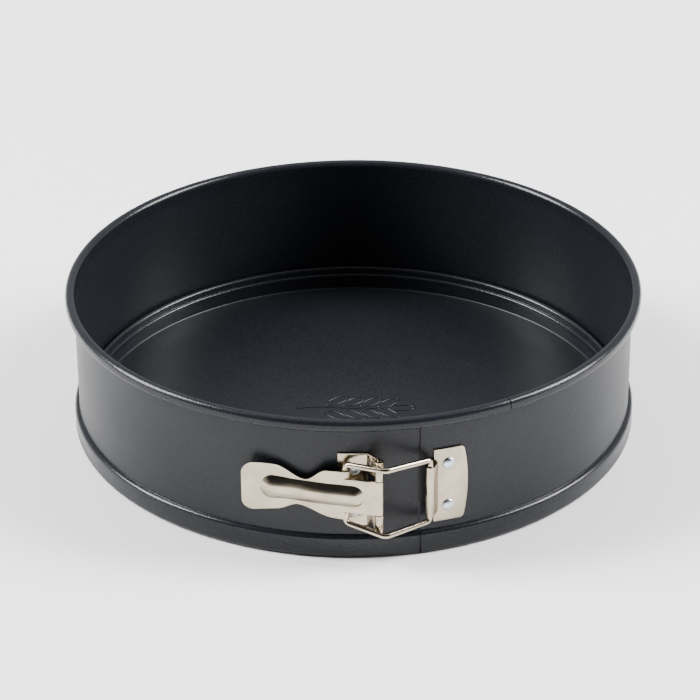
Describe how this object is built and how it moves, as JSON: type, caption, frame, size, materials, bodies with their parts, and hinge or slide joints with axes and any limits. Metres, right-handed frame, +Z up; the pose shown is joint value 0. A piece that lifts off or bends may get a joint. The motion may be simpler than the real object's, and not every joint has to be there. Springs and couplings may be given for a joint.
{
  "type": "springform pan",
  "caption": "Round springform cake pan: dark non-stick side band with a rolled rim and bottom bead, a loose base plate, and a wire-bail lever latch in bright plated steel.",
  "frame": {"origin": "on the pan's axis, in the plane of the base plate's underside, which is the surface the pan stands on", "axes": "+Z up along the pan's axis; -Y towards the latch at the front; +X to the right when facing the latch"},
  "size_m": [0.237, 0.2451, 0.0616],
  "materials": {
    "dark_coating": "satin dark grey non-stick coating on steel",
    "nickel_plate": "bright nickel plating",
    "rivet_metal": "satin rivet metal"
  },
  "bodies": {
    "ring_left": {"side_band_left": "dark_coating", "latch_bracket": "nickel_plate", "bracket_rivets": "rivet_metal", "hinge_pin": "nickel_plate"},
    "ring_right": {"side_band_right": "dark_coating", "keeper_plate": "nickel_plate", "keeper_rivets": "rivet_metal"},
    "lever": {"latch_lever": "nickel_plate"},
    "bail": {"bail_wire": "nickel_plate"},
    "base": {"base_plate": "dark_coating"}
  },
  "joints": [
    {"name": "lever_hinge", "type": "hinge", "parent": "ring_left", "child": "lever", "pos_m": [0.00956, -0.12152, 0.0305], "axis": [0, 0, 1], "range_deg": [0, 180]},
    {"name": "ring_spring", "type": "hinge", "parent": "ring_left", "child": "ring_right", "pos_m": [0, 0.1186, 0.0305], "axis": [0, 0, 1], "range_deg": [0, 5.7]},
    {"name": "bail_hinge", "type": "hinge", "parent": "lever", "child": "bail", "pos_m": [-0.00336, -0.11835, 0.0305], "axis": [0, 0, 1], "range_deg": [-161.5, 0]},
    {"name": "base_lift", "type": "slide", "parent": "ring_left", "child": "base", "axis": [0, 0, 1], "range_m": [0, 0.075]}
  ],
  "couplings": [
    {"joint": "ring_spring", "follows": "lever_hinge", "ratio": 0.031495},
    {"joint": "bail_hinge", "follows": "lever_hinge", "ratio": -0.89445}
  ]
}
